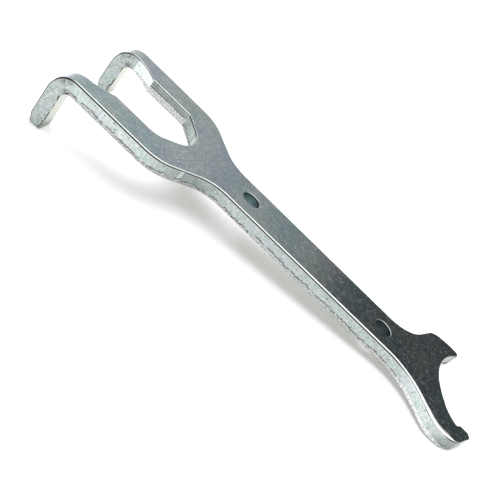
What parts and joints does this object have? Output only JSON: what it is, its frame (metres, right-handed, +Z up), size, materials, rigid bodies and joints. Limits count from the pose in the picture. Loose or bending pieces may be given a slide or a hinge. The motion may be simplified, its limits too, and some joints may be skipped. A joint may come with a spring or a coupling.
{
  "type": "double-ended fork and hook spanner",
  "caption": "One-piece stamped steel spanner with a folded two-peg fork at one end and a hook for slotted ring nuts at the other.",
  "frame": {"origin": "centre of the hole nearest the fork, on the underside of the plate", "axes": "+X along the shank from the fork to the hook, +Y towards the lug of the hook, +Z up out of the plate, away from the pegs"},
  "size_m": [0.1665, 0.0514, 0.0202],
  "materials": {
    "plated_steel": "satin zinc plating"
  },
  "bodies": {
    "root": {"spanner_body": "plated_steel"}
  },
  "joints": []
}
